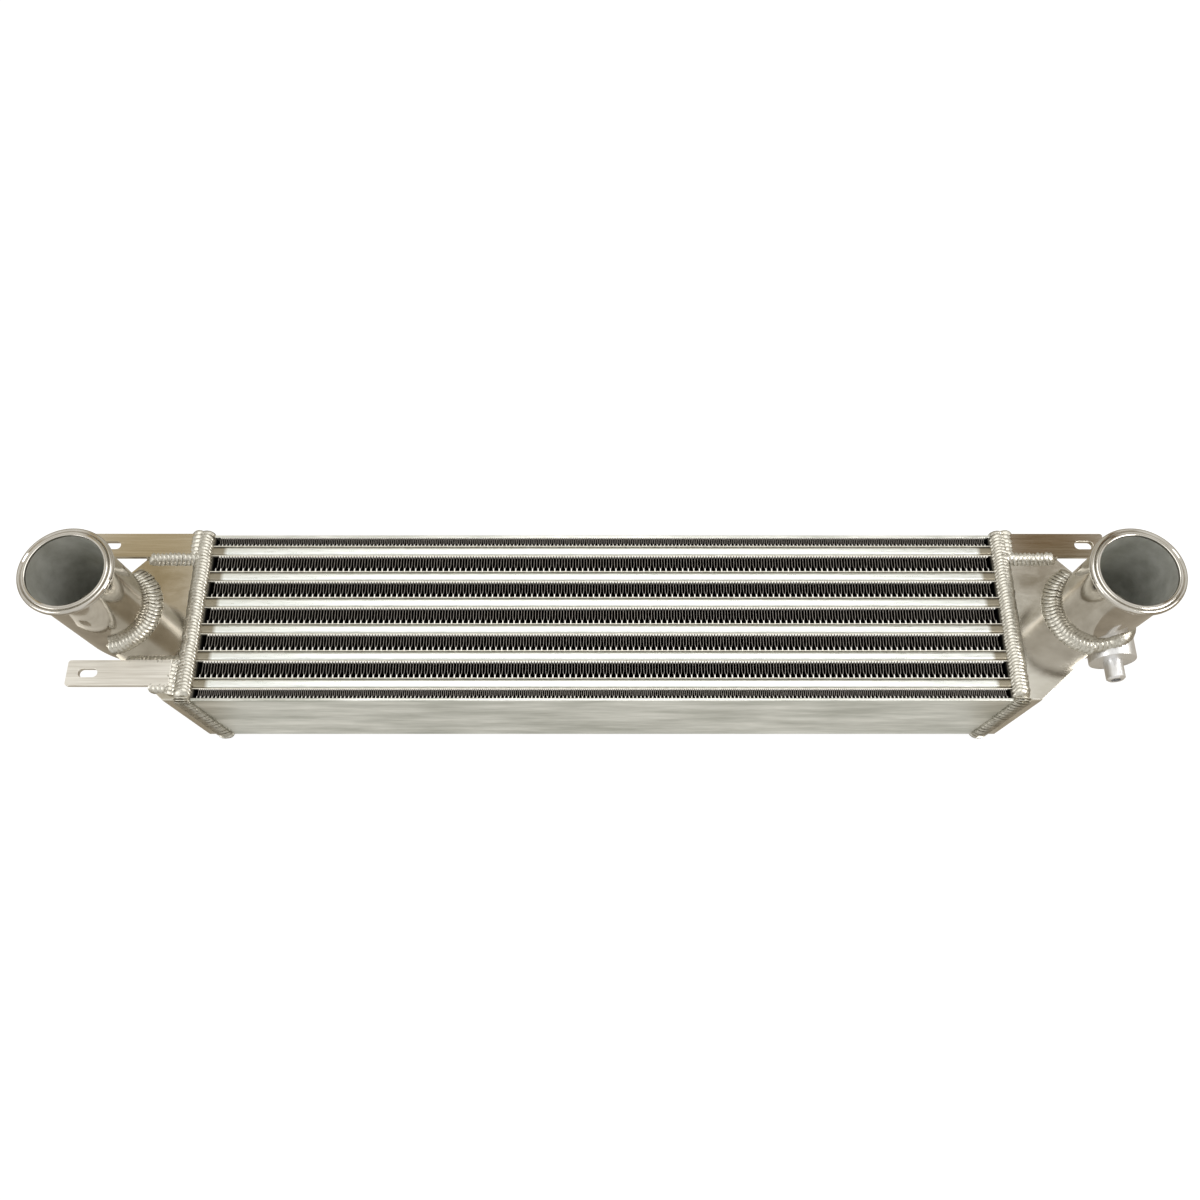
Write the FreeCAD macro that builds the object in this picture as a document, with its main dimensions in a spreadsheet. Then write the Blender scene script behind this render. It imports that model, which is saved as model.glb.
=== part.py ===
import FreeCAD, Part
import math
import os
import re
from types import SimpleNamespace

import Sketcher
from FreeCAD import Rotation, Vector

# Bar-and-plate intercooler, lying with its cooling air faces up and down.
# X runs along the core from tank to tank, +Y away from the side with the port,
# +Z up through the core towards the mouths of the necks.
# The origin is under the middle of the part, on the surface that it lies on.

DRIVING_SIZES = [
    ("core_length", 550, "clear length of the core's face between its end bars"),
    ("core_depth", 76, "depth of the core along the cooling air's way"),
    ("side_plate", 2, "thickness of the plates that close the stack"),
    ("passage_count", 6, "number of charge air passages"),
    ("charge_bar_height", 7, "height of a charge air passage in the stack"),
    ("charge_bar_depth", 6, "depth of the bars that close a passage"),
    ("charge_bar_rounding", 2.2, "radius on the outer edges of those bars"),
    ("sheet_thickness", 0.5, "thickness of the parting sheets"),
    ("fin_row_height", 12, "height of a full row of cooling fins"),
    ("edge_fin_height", 6.5, "height of the rows beside the side plates"),
    ("end_bar_width", 6, "width of the bars that close the fin rows' ends"),
    ("fin_pitch", 12, "distance from one fold of a cooling fin to the next like it"),
    ("fin_thickness", 0.3, "thickness of the cooling fin strip"),
    ("fin_end_gap", 3, "free space between the last fold and the end bar"),
    ("fin_recess", 0.8, "how far the fins lie below the bars' faces"),
    ("turbulator_pitch", 10, "distance between like folds inside a charge passage"),
    ("turbulator_thickness", 0.4, "thickness of the turbulator strip"),
    ("tank_sheet", 3, "thickness of the end tanks' sheet"),
    ("near_straight", 13.5, "length of the near wall before its bend"),
    ("near_angle", 41.5, "turn of the near wall towards the neck, degrees"),
    ("far_straight", 22, "length of the far wall before its bend"),
    ("far_angle", 46.5, "turn of the far wall towards the neck, degrees"),
    ("floor_straight", 13.5, "length of the tank floor before its bend"),
    ("floor_angle", 46, "climb of the tank floor to the neck, degrees"),
    ("neck_offset", 59, "distance from the tank joint to a neck's axis"),
    ("neck_shift", 4.8, "distance of the necks' axes beyond the core's middle"),
    ("neck_rise", 58, "height of the necks' mouths above the tanks"),
    ("neck_radius", 27.25, "outside radius of the neck tubes"),
    ("neck_wall", 2.5, "wall of the neck tubes"),
    ("hose_bead_height", 3.3, "how far the rolled bead stands out of the tube"),
    ("hose_bead_width", 3.8, "width of the rolled bead along the tube"),
    ("hose_bead_crown", 1.4, "width of the rolled bead along its crown"),
    ("hose_bead_drop", 2.1, "distance of the rolled bead below the mouth"),
    ("bracket_width", 18.4, "width of the bracket strips"),
    ("bracket_thickness", 3, "thickness of the bracket strips"),
    ("bracket_corner", 2, "radius of the brackets' free corners"),
    ("bracket_start", 6, "distance from the tank joint to a far bracket"),
    ("near_bracket_start", 10, "distance from the tank joint to the near bracket"),
    ("left_reach", 80, "reach of the left brackets past the tank joint"),
    ("right_reach", 74, "reach of the right bracket past the tank joint"),
    ("far_bracket_inset", 0.4, "far brackets' edge inside the core's far side"),
    ("near_bracket_inset", 9.7, "near bracket's edge inside the core's near side"),
    ("slot_length", 13, "length of the bracket slots, end to end"),
    ("slot_width", 6, "width of the bracket slots"),
    ("slot_inset", 14.3, "distance from a bracket's end to its slot's middle"),
    ("joint_bead_width", 9, "width of the weld round the core-to-tank joint"),
    ("joint_bead_height", 2.3, "how far that weld stands out"),
    ("joint_bead_slope", 1.8, "how far that weld's edges are sloped off"),
    ("neck_bead_width", 9, "width of the weld round a neck"),
    ("neck_bead_height", 4, "height of the weld round a neck"),
    ("neck_bead_crown", 3.4, "width of that weld before it falls off"),
    ("bracket_bead_radius", 4, "radius of the weld along a bracket"),
    ("bracket_bead_offset", 1, "distance of that weld's middle from the bracket"),
    ("bracket_bead_length", 33, "length of the weld along a bracket"),
    ("boss_radius", 14.8, "radius of the port boss"),
    ("boss_length", 20, "length of the port boss before it is fitted to the tube"),
    ("boss_offset", 12.2, "distance of the boss's axis beyond the neck's axis"),
    ("boss_drop", 8, "distance of the boss's axis below the tank's face"),
    ("boss_reach", 36, "distance of the boss's face from the neck's axis"),
    ("boss_bead_width", 8, "width of the weld over the boss"),
    ("boss_bead_crown", 3.2, "width of that weld along its crown"),
    ("boss_bead_height", 2.6, "how far that weld stands out"),
    ("boss_bead_inset", 10.5, "distance of that weld's middle from the boss's face"),
    ("nipple_radius", 6, "radius of the port nipple"),
    ("nipple_length", 13.5, "length of the port nipple"),
    ("nipple_chamfer", 1.2, "chamfer at the nipple's end"),
    ("port_radius", 3.2, "radius of the hole through the nipple and the boss"),
]

DERIVED_SIZES = [
    ("header_x", "core_length / 2 + end_bar_width"),
    ("row_pitch", "charge_bar_height + 2 * sheet_thickness + fin_row_height"),
    ("stack_edge", "side_plate + edge_fin_height"),
    ("passage_block", "charge_bar_height + 2 * sheet_thickness"),
    ("core_width", "2 * stack_edge + (passage_count - 1) * row_pitch + passage_block"),
    ("half_width", "core_width / 2"),
    ("core_base", "joint_bead_height"),
    ("core_top", "core_base + core_depth"),
    ("plate_bottom", "core_top - tank_sheet"),
    ("floor_top", "core_base + tank_sheet"),
    ("neck_x", "header_x + neck_offset"),
    ("neck_tip_x", "neck_x + neck_radius"),
    ("neck_mouth", "core_top + neck_rise"),
    ("neck_bore", "neck_radius - neck_wall"),
    ("bead_level", "neck_mouth - hose_bead_drop"),
    ("near_bend_x", "header_x + near_straight"),
    ("far_bend_x", "header_x + far_straight"),
    ("floor_bend_x", "header_x + floor_straight"),
    ("near_end_y", "(neck_x - near_bend_x) * tan(near_angle) - half_width"),
    ("far_end_y", "half_width - (neck_x - far_bend_x) * tan(far_angle)"),
    ("near_inner_x", "near_bend_x - tank_sheet * tan(near_angle / 2)"),
    ("near_inner_y", "tank_sheet - half_width"),
    ("near_inner_end_y", "near_end_y + tank_sheet / cos(near_angle)"),
    ("far_inner_x", "far_bend_x - tank_sheet * tan(far_angle / 2)"),
    ("far_inner_y", "half_width - tank_sheet"),
    ("far_inner_end_y", "far_end_y - tank_sheet / cos(far_angle)"),
    ("floor_inner_x", "floor_bend_x - tank_sheet * tan(floor_angle / 2)"),
    ("floor_tip_z", "core_base + (neck_tip_x - floor_bend_x) * tan(floor_angle)"),
    ("floor_inner_tip_z", "floor_tip_z + tank_sheet / cos(floor_angle)"),
    ("far_bracket_y", "half_width - far_bracket_inset - bracket_width / 2"),
    ("near_bracket_y", "near_bracket_inset + bracket_width / 2 - half_width"),
    ("boss_x", "neck_x + boss_offset"),
    ("boss_face_y", "neck_shift - boss_reach"),
    ("boss_z", "core_top - boss_drop"),
]

SIDES = {"left": -1, "right": 1}
PARALLEL = 0.99
SAME_PLACE = 1e-6

doc = FreeCAD.newDocument("intercooler")
sheet = doc.addObject("Spreadsheet::Sheet", "dims")
nodes = []


def fill_sheet():
    """Write the driving sizes as plain numbers and the derived ones as formulas."""
    row = 0
    for alias, value, meaning in DRIVING_SIZES:
        row += 1
        sheet.set(f"A{row}", meaning)
        sheet.set(f"B{row}", str(value))
        sheet.setAlias(f"B{row}", alias)
    for alias, formula in DERIVED_SIZES:
        row += 1
        sheet.set(f"B{row}", f"={formula}")
        sheet.setAlias(f"B{row}", alias)
    doc.recompute()


fill_sheet()
ALIASES = [size[0] for size in DRIVING_SIZES + DERIVED_SIZES]
size = SimpleNamespace(**{alias: float(sheet.get(alias)) for alias in ALIASES})


def on_sheet(formula):
    """Turn plain size names into references to the sheet's cells."""
    return re.sub(r"[a-z_]+", lambda word: f"dims.{word[0]}" if word[0] in ALIASES else word[0], formula)


def bind(thing, **formulas):
    """Tie properties of a document object to formulas on the sheet's sizes."""
    for prop, formula in formulas.items():
        thing.setExpression(prop, on_sheet(formula))
    return thing


def place(thing, x="0", y="0", z="0"):
    """Put a document object at a point given by formulas."""
    for axis, formula in (("x", x), ("y", y), ("z", z)):
        thing.setExpression(f"Placement.Base.{axis}", on_sheet(formula))
    return thing


def keep(thing, name):
    """Make a document object one of the part's named pieces."""
    thing.Label = name
    nodes.append(thing)
    return thing


def box(name, length, width, height, x, y, z):
    """A block by its size and its lowest corner."""
    block = doc.addObject("Part::Box", name)
    bind(block, Length=length, Width=width, Height=height)
    return place(block, x, y, z)


def cylinder(name, radius, height, x, y, z, along=Vector(0, 0, 1)):
    """A round bar from its foot at x, y, z."""
    bar = doc.addObject("Part::Cylinder", name)
    bar.Placement.Rotation = Rotation(Vector(0, 0, 1), along)
    bind(bar, Radius=radius, Height=height)
    return place(bar, x, y, z)


def cut(name, base, *tools):
    """What is left of base after each tool is taken away."""
    for number, tool in enumerate(tools, start=1):
        result = doc.addObject("Part::Cut", f"{name}_cut_{number}")
        result.Base = base
        result.Tool = tool
        base = result
    return base


def fuse(name, *shapes):
    """Several shapes as one solid."""
    result = doc.addObject("Part::MultiFuse", name)
    result.Shapes = list(shapes)
    result.Refine = True
    return result


def common(name, base, tool):
    """What two shapes share."""
    result = doc.addObject("Part::Common", name)
    result.Base = base
    result.Tool = tool
    return result


def outlined_body(name, plane, corners):
    """A body and its sketch of straight edges, each corner two formulas."""
    body = doc.addObject("PartDesign::Body", name)
    outline = body.newObject("Sketcher::SketchObject", f"{name}_outline")
    origin_plane = next(item for item in body.Origin.OriginFeatures if item.Role == plane)
    outline.AttachmentSupport = [(origin_plane, "")]
    outline.MapMode = "FlatFace"
    turn = 2 * math.pi / len(corners)
    starts = [Vector(math.cos(turn * step), math.sin(turn * step), 0) for step in range(len(corners))]
    for start, end in zip(starts, starts[1:] + starts[:1]):
        outline.addGeometry(Part.LineSegment(start, end))
    for edge, (start, corner) in enumerate(zip(starts, corners)):
        following = (edge + 1) % len(corners)
        outline.addConstraint(Sketcher.Constraint("Coincident", edge, 2, following, 1))
        for kind, distance, formula in zip(("DistanceX", "DistanceY"), start, corner):
            index = outline.addConstraint(Sketcher.Constraint(kind, -1, 1, edge, 1, distance))
            outline.setExpression(f"Constraints[{index}]", on_sheet(formula))
    return body, outline


def padded(name, plane, corners, depth, symmetric=False):
    """A body padded from an outline."""
    body, outline = outlined_body(name, plane, corners)
    pad = body.newObject("PartDesign::Pad", f"{name}_pad")
    pad.Profile = outline
    pad.Midplane = symmetric
    bind(pad, Length=depth)
    return body


def turned(name, corners):
    """A body turned round the vertical from its section's radii and heights."""
    body, outline = outlined_body(name, "XZ_Plane", corners)
    turning = body.newObject("PartDesign::Revolution", f"{name}_turning")
    turning.Profile = outline
    turning.ReferenceAxis = (outline, ["V_Axis"])
    turning.Angle = 360
    return body


def dress_edges(body, kind, wanted, **formulas):
    """Fillet or chamfer those edges of a body's pad whose middle and direction pass a test."""
    doc.recompute()
    pad = body.Tip
    names = []
    for number, edge in enumerate(pad.Shape.Edges, start=1):
        if wanted(edge.CenterOfMass, edge.tangentAt(edge.FirstParameter)):
            names.append(f"Edge{number}")
    dressing = body.newObject(f"PartDesign::{kind}", f"{body.Name}_{kind.lower()}")
    dressing.Base = (pad, names)
    bind(dressing, **formulas)


def same(one, other):
    """Whether two places are the same within the model's accuracy."""
    return math.isclose(one, other, abs_tol=SAME_PLACE)


def folded_strip(low, high, floor, ceiling, pitch, thickness):
    """Corners of a strip folded to and fro between two sheets, as pairs along and across."""
    folds = max(1, round((high - low) / pitch))
    half_fold = (high - low) / folds / 2
    slant = math.hypot(half_fold, ceiling - floor) / half_fold
    half_rise = thickness * slant / 2
    middle = []
    for step in range(2 * folds + 1):
        across = floor + half_rise if step % 2 == 0 else ceiling - half_rise
        middle.append((low + step * half_fold, across))
    upper = [(along, across + half_rise) for along, across in middle]
    lower = [(along, across - half_rise) for along, across in reversed(middle)]
    return upper + lower


def fin_solid(corners, direction):
    """A folded strip's solid from the corners of its section and the way it runs."""
    wire = Part.makePolygon(corners + corners[:1])
    return Part.Face(wire).extrude(direction)


def stored_shape(name, shape):
    """A document object that holds a ready shape."""
    feature = doc.addObject("Part::Feature", name)
    feature.Shape = shape
    feature.Placement = FreeCAD.Placement()
    return keep(feature, name)


def side_plates():
    """The two plates that close the stack of the core."""
    for name, edge in (("side_plate_near", "-half_width"), ("side_plate_far", "half_width - side_plate")):
        plate = box(name, "2 * header_x", "side_plate", "core_depth", "-header_x", edge, "core_base")
        keep(plate, name)


def charge_bar(name, sheet_side, z, rounded_face):
    """One long bar of a charge passage with its two outer edges rounded."""
    corners = [("-header_x", sheet_side), ("header_x", sheet_side),
               ("header_x", f"{sheet_side} + charge_bar_height"),
               ("-header_x", f"{sheet_side} + charge_bar_height")]
    bar = padded(name, "XY_Plane", corners, "charge_bar_depth")
    place(bar, z=z)
    level = size.charge_bar_depth if rounded_face == "top" else 0
    dress_edges(bar, "Fillet", lambda middle, way: abs(way.x) > PARALLEL and same(middle.z, level),
                Radius="charge_bar_rounding")
    keep(bar, name)


def charge_passages():
    """The bars, parting sheets and turbulator of every charge air passage."""
    for number in range(int(size.passage_count)):
        label = number + 1
        block = f"stack_edge - half_width + {number} * row_pitch"
        low_sheet = box(f"sheet_near_{label}", "2 * header_x", "sheet_thickness", "core_depth",
                        "-header_x", block, "core_base")
        high_sheet = box(f"sheet_far_{label}", "2 * header_x", "sheet_thickness", "core_depth",
                         "-header_x", f"{block} + charge_bar_height + sheet_thickness", "core_base")
        pair = doc.addObject("Part::Compound", f"parting_sheets_{label}")
        pair.Links = [low_sheet, high_sheet]
        keep(pair, f"parting_sheets_{label}")
        inner = f"{block} + sheet_thickness"
        charge_bar(f"charge_bar_top_{label}", inner, "core_top - charge_bar_depth", "top")
        charge_bar(f"charge_bar_bottom_{label}", inner, "core_base", "bottom")
        near = size.stack_edge - size.half_width + number * size.row_pitch + size.sheet_thickness
        section = folded_strip(size.core_base + size.charge_bar_depth, size.core_top - size.charge_bar_depth,
                               near, near + size.charge_bar_height,
                               size.turbulator_pitch, size.turbulator_thickness)
        corners = [Vector(-size.header_x, across, along) for along, across in section]
        stored_shape(f"turbulator_{label}", fin_solid(corners, Vector(2 * size.header_x, 0, 0)))


def cooling_rows():
    """The folded fins of the cooling air rows, and the bars that close the rows' ends."""
    end_bars = {"left": [], "right": []}
    reach = size.core_length / 2 - size.fin_end_gap
    row_count = int(size.passage_count) + 1
    for number in range(row_count):
        label = number + 1
        is_first = number == 0
        is_last = number == row_count - 1
        low = f"stack_edge + passage_block + {number - 1} * row_pitch - half_width"
        floor = size.stack_edge + size.passage_block + (number - 1) * size.row_pitch - size.half_width
        if is_first:
            low = "side_plate - half_width"
            floor = size.side_plate - size.half_width
        height = "edge_fin_height" if is_first or is_last else "fin_row_height"
        for side, edge in (("left", "-header_x"), ("right", "header_x - end_bar_width")):
            bar = box(f"end_bar_{side}_{label}", "end_bar_width", height, "core_depth", edge, low, "core_base")
            end_bars[side].append(bar)
        ceiling = floor + getattr(size, height)
        section = folded_strip(-reach, reach, floor, ceiling, size.fin_pitch, size.fin_thickness)
        base = size.core_base + size.fin_recess
        corners = [Vector(along, across, base) for along, across in section]
        run = Vector(0, 0, size.core_depth - 2 * size.fin_recess)
        stored_shape(f"cooling_fin_{label}", fin_solid(corners, run))
    for side, bars in end_bars.items():
        group = doc.addObject("Part::Compound", f"end_bars_{side}")
        group.Links = bars
        keep(group, f"end_bars_{side}")


def mirrored(sign, corners):
    """Corners with the tank side's sign on their distance along the core."""
    return [(f"{sign} * ({x})", y) for x, y in corners]


TANK_OUTLINE = [("header_x", "-half_width"), ("near_bend_x", "-half_width"), ("neck_x", "near_end_y"),
                ("neck_x", "far_end_y"), ("far_bend_x", "half_width"), ("header_x", "half_width")]
TANK_HOLLOW = [("header_x", "near_inner_y"), ("near_inner_x", "near_inner_y"), ("neck_x", "near_inner_end_y"),
               ("neck_x", "far_inner_end_y"), ("far_inner_x", "far_inner_y"), ("header_x", "far_inner_y")]
NEAR_WALL = TANK_OUTLINE[:3] + TANK_HOLLOW[2::-1]
FAR_WALL = TANK_OUTLINE[3:] + TANK_HOLLOW[:2:-1]
FLOOR_SECTION = [("header_x", "core_base"), ("floor_bend_x", "core_base"), ("neck_tip_x", "floor_tip_z"),
                 ("neck_tip_x", "floor_inner_tip_z"), ("floor_inner_x", "floor_top"), ("header_x", "floor_top")]
UNDER_FLOOR = [("floor_inner_x", "floor_top"), ("neck_tip_x", "floor_inner_tip_z"),
               ("neck_tip_x + tank_sheet", "floor_inner_tip_z"), ("neck_tip_x + tank_sheet", "-tank_sheet"),
               ("floor_inner_x", "-tank_sheet")]
NECK_SECTION = [("neck_radius", "core_base"),
                ("neck_radius", "bead_level - hose_bead_width / 2"),
                ("neck_radius + hose_bead_height", "bead_level - hose_bead_crown / 2"),
                ("neck_radius + hose_bead_height", "bead_level + hose_bead_crown / 2"),
                ("neck_radius", "bead_level + hose_bead_width / 2"),
                ("neck_radius", "neck_mouth"),
                ("neck_bore", "neck_mouth"),
                ("neck_bore", "core_base")]
NECK_BEAD_SECTION = [("neck_radius", "0"),
                     ("neck_radius + neck_bead_width", "0"),
                     ("neck_radius + neck_bead_crown", "neck_bead_height"),
                     ("neck_radius", "neck_bead_height")]
NIPPLE_SECTION = [("port_radius", "0"),
                  ("nipple_radius", "0"),
                  ("nipple_radius", "nipple_length - nipple_chamfer"),
                  ("nipple_radius - nipple_chamfer", "nipple_length"),
                  ("port_radius", "nipple_length")]
BOSS_BEAD_SECTION = [("boss_radius", "boss_bead_width / -2"),
                     ("boss_radius + boss_bead_height", "boss_bead_crown / -2"),
                     ("boss_radius + boss_bead_height", "boss_bead_crown / 2"),
                     ("boss_radius", "boss_bead_width / 2")]


def end_tank(side):
    """One welded tank: top plate, two walls, folded floor and the neck that closes its point."""
    sign = SIDES[side]
    x = f"{sign} * neck_x"
    tube = cylinder(f"neck_space_{side}", "neck_radius", "neck_rise + core_depth", x, "neck_shift", "core_base")
    under_floor = padded(f"under_floor_{side}", "XZ_Plane", mirrored(sign, UNDER_FLOOR),
                         "2 * core_width", symmetric=True)

    plate = padded(f"plate_blank_{side}", "XY_Plane", mirrored(sign, TANK_OUTLINE), "tank_sheet")
    place(plate, z="plate_bottom")
    keep(cut(f"tank_top_{side}", plate, tube), f"tank_top_{side}")

    for wall, corners in (("near", NEAR_WALL), ("far", FAR_WALL)):
        strip = padded(f"wall_blank_{wall}_{side}", "XY_Plane", mirrored(sign, corners),
                       "core_depth - 2 * tank_sheet")
        place(strip, z="floor_top")
        keep(cut(f"tank_wall_{wall}_{side}", strip, tube, under_floor), f"tank_wall_{wall}_{side}")

    strip = padded(f"floor_blank_{side}", "XZ_Plane", mirrored(sign, FLOOR_SECTION),
                   "core_width", symmetric=True)
    plan = padded(f"floor_plan_{side}", "XY_Plane", mirrored(sign, TANK_OUTLINE), "2 * core_depth")
    shadow = fuse(f"floor_shadow_{side}", plan, tube)
    keep(common(f"tank_floor_{side}", strip, shadow), f"tank_floor_{side}")

    keep(neck_tube(side, under_floor), f"neck_{side}")
    ring = turned(f"neck_ring_{side}", NECK_BEAD_SECTION)
    place(ring, x, "neck_shift", "core_top")
    field = padded(f"bead_field_{side}", "XY_Plane", mirrored(sign, TANK_OUTLINE), "neck_bead_width")
    place(field, z="core_top")
    keep(common(f"neck_weld_{side}", ring, field), f"neck_weld_{side}")
    return tube, plan


def neck_tube(side, under_floor):
    """A neck: tube with a rolled bead, mitred foot and open way to the tank."""
    sign = SIDES[side]
    blank = turned(f"neck_blank_{side}", NECK_SECTION)
    place(blank, f"{sign} * neck_x", "neck_shift")
    hollow = padded(f"tank_hollow_{side}", "XY_Plane", mirrored(sign, TANK_HOLLOW), "core_depth - tank_sheet")
    place(hollow, z="core_base")
    tools = [under_floor, hollow]
    if side == "right":
        tools.append(port_hole())
    return cut(f"neck_{side}", blank, *tools)


def port_hole():
    """The round way of the port from the nipple's end into the neck."""
    hole = doc.getObject("port_hole")
    if hole is None:
        hole = cylinder("port_hole", "port_radius", "nipple_length + boss_reach",
                        "boss_x", "boss_face_y - nipple_length", "boss_z", Vector(0, 1, 0))
    return hole


def port(neck_space, tank_plan):
    """The port boss on the right neck, its nipple and the weld over it."""
    blank = cylinder("boss_blank", "boss_radius", "boss_length", "boss_x", "boss_face_y", "boss_z",
                     Vector(0, 1, 0))
    keep(cut("port_boss", blank, neck_space, tank_plan, port_hole()), "port_boss")

    nipple = turned("port_nipple", NIPPLE_SECTION)
    nipple.Placement.Rotation = Rotation(Vector(0, 0, 1), Vector(0, -1, 0))
    keep(place(nipple, "boss_x", "boss_face_y", "boss_z"), "port_nipple")

    ring = turned("boss_ring", BOSS_BEAD_SECTION)
    ring.Placement.Rotation = Rotation(Vector(0, 0, 1), Vector(0, 1, 0))
    place(ring, "boss_x", "boss_face_y + boss_bead_inset", "boss_z")
    upper = box("boss_bead_field", "4 * boss_radius", "2 * boss_length", "2 * boss_radius",
                "boss_x - 2 * boss_radius", "boss_face_y", "boss_z + boss_radius / 2")
    keep(cut("port_weld", common("boss_ring_part", ring, upper), neck_space, tank_plan), "port_weld")


def bracket(name, side, start, reach, middle):
    """A slotted strip that lies on the tank's top plate."""
    sign = SIDES[side]
    inner = f"{sign} * (header_x + {start})"
    outer = f"{sign} * (header_x + {reach})"
    edge = f"{middle} - bracket_width / 2"
    corners = [(inner, edge), (outer, edge), (outer, f"{edge} + bracket_width"),
               (inner, f"{edge} + bracket_width")]
    strip = padded(f"{name}_blank", "XY_Plane", corners, "bracket_thickness")
    place(strip, z="core_top")
    end = sign * (size.header_x + getattr(size, reach))
    dress_edges(strip, "Fillet", lambda middle, way: abs(way.z) > PARALLEL and same(middle.x, end),
                Radius="bracket_corner")

    slot_x = f"{sign} * (header_x + {reach} - slot_inset)"
    below = "core_top - bracket_thickness"
    thick = "3 * bracket_thickness"
    run = "slot_length - slot_width"
    slot = fuse(f"{name}_slot",
                box(f"{name}_slot_run", run, "slot_width", thick,
                    f"{slot_x} - (slot_length - slot_width) / 2", f"{middle} - slot_width / 2", below),
                cylinder(f"{name}_slot_end_a", "slot_width / 2", thick,
                         f"{slot_x} - (slot_length - slot_width) / 2", middle, below),
                cylinder(f"{name}_slot_end_b", "slot_width / 2", thick,
                         f"{slot_x} + (slot_length - slot_width) / 2", middle, below))
    return keep(cut(name, strip, slot), name)


def bracket_weld(name, side, start, middle, edge_side, strip, joint):
    """The bead along a bracket's inner edge and round its inner end."""
    sign = SIDES[side]
    edge = f"{middle} + {edge_side} * (bracket_width / 2 + bracket_bead_offset)"
    end_x = f"{sign} * (header_x + {start} - bracket_bead_offset)"
    along = cylinder(f"{name}_run", "bracket_bead_radius", "bracket_bead_length", end_x, edge, "core_top",
                     Vector(sign, 0, 0))
    across = cylinder(f"{name}_end", "bracket_bead_radius", "bracket_width + bracket_bead_offset",
                      end_x, edge, "core_top", Vector(0, -edge_side, 0))
    field = padded(f"{name}_field", "XY_Plane", mirrored(sign, TANK_OUTLINE), "2 * bracket_bead_radius")
    place(field, z="core_top")
    bead = common(f"{name}_part", fuse(f"{name}_blank", along, across), field)
    keep(cut(name, bead, strip, joint), name)


def joint_weld(side):
    """The bead round the joint between the core and a tank."""
    outer = [("-half_width - joint_bead_height", "0"),
             ("half_width + joint_bead_height", "0"),
             ("half_width + joint_bead_height", "core_depth + 2 * joint_bead_height"),
             ("-half_width - joint_bead_height", "core_depth + 2 * joint_bead_height")]
    blank = padded(f"joint_blank_{side}", "YZ_Plane", outer, "joint_bead_width", symmetric=True)
    x = f"{SIDES[side]} * header_x"
    place(blank, x)
    edge = size.joint_bead_width / 2
    dress_edges(blank, "Chamfer", lambda middle, way: same(abs(middle.x), edge), Size="joint_bead_slope")
    inside = box(f"joint_inside_{side}", "2 * joint_bead_width", "core_width", "core_depth",
                 f"{x} - joint_bead_width", "-half_width", "core_base")
    return keep(cut(f"joint_weld_{side}", blank, inside), f"joint_weld_{side}")


def check_and_write():
    """Stop on any failed object or piece, then write each piece to its own file."""
    doc.recompute()
    for item in doc.Objects:
        if {"Invalid", "Error"} & set(item.State):
            raise RuntimeError(f"{item.Name} failed: {item.State}")
    for piece in nodes:
        if piece.Shape.isNull() or not piece.Shape.isValid() or not piece.Shape.Solids:
            raise RuntimeError(f"{piece.Label} has no valid solid")
    os.makedirs("parts", exist_ok=True)
    for piece in nodes:
        piece.Shape.exportStep(f"parts/{piece.Label}.step")
        print(piece.Label, len(piece.Shape.Solids), round(piece.Shape.Volume, 1))


side_plates()
charge_passages()
cooling_rows()
rooms = {side: end_tank(side) for side in SIDES}
joints = {side: joint_weld(side) for side in SIDES}
port(*rooms["right"])
for place_name, side, start, reach, middle, weld_side in (
        ("far_left", "left", "bracket_start", "left_reach", "far_bracket_y", -1),
        ("far_right", "right", "bracket_start", "right_reach", "far_bracket_y", -1),
        ("near_left", "left", "near_bracket_start", "left_reach", "near_bracket_y", 1)):
    strip = bracket(f"bracket_{place_name}", side, start, reach, middle)
    bracket_weld(f"bracket_weld_{place_name}", side, start, middle, weld_side, strip, joints[side])
check_and_write()
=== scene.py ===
import logging
import math
import random
from contextlib import contextmanager
from dataclasses import dataclass, replace
from enum import Enum
from typing import Callable, Iterator, Sequence

import bpy
from mathutils import Matrix, Vector


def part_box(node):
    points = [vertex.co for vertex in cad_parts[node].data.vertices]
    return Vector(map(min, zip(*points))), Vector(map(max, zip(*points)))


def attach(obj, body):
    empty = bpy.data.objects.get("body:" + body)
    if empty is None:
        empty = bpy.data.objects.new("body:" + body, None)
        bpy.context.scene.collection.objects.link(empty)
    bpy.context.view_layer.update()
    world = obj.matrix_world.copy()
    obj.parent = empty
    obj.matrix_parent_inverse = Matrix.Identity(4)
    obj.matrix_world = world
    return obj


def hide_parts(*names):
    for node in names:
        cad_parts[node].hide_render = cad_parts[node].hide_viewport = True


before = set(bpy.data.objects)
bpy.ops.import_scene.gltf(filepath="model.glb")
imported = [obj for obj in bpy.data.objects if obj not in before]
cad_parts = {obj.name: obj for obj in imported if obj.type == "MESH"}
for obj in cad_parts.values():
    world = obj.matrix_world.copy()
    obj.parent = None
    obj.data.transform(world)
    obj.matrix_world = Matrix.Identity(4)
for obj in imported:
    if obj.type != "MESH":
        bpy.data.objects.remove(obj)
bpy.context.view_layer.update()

log = logging.getLogger("intercooler")
MM = 0.001
MERGE_DISTANCE = 0.005 * MM
Pair = tuple[float, float]
Triple = tuple[float, float, float]
Stop = tuple[float, str]
Colour = tuple[float, float, float, float]
EdgeTest = Callable[[Vector, Vector], bool]


class Side(Enum):
    """The two ends of the intercooler, each with the sign of its X."""

    LEFT = -1
    RIGHT = 1

    @property
    def word(self) -> str:
        """The side's name as the CAD nodes use it."""
        return self.name.lower()


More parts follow.
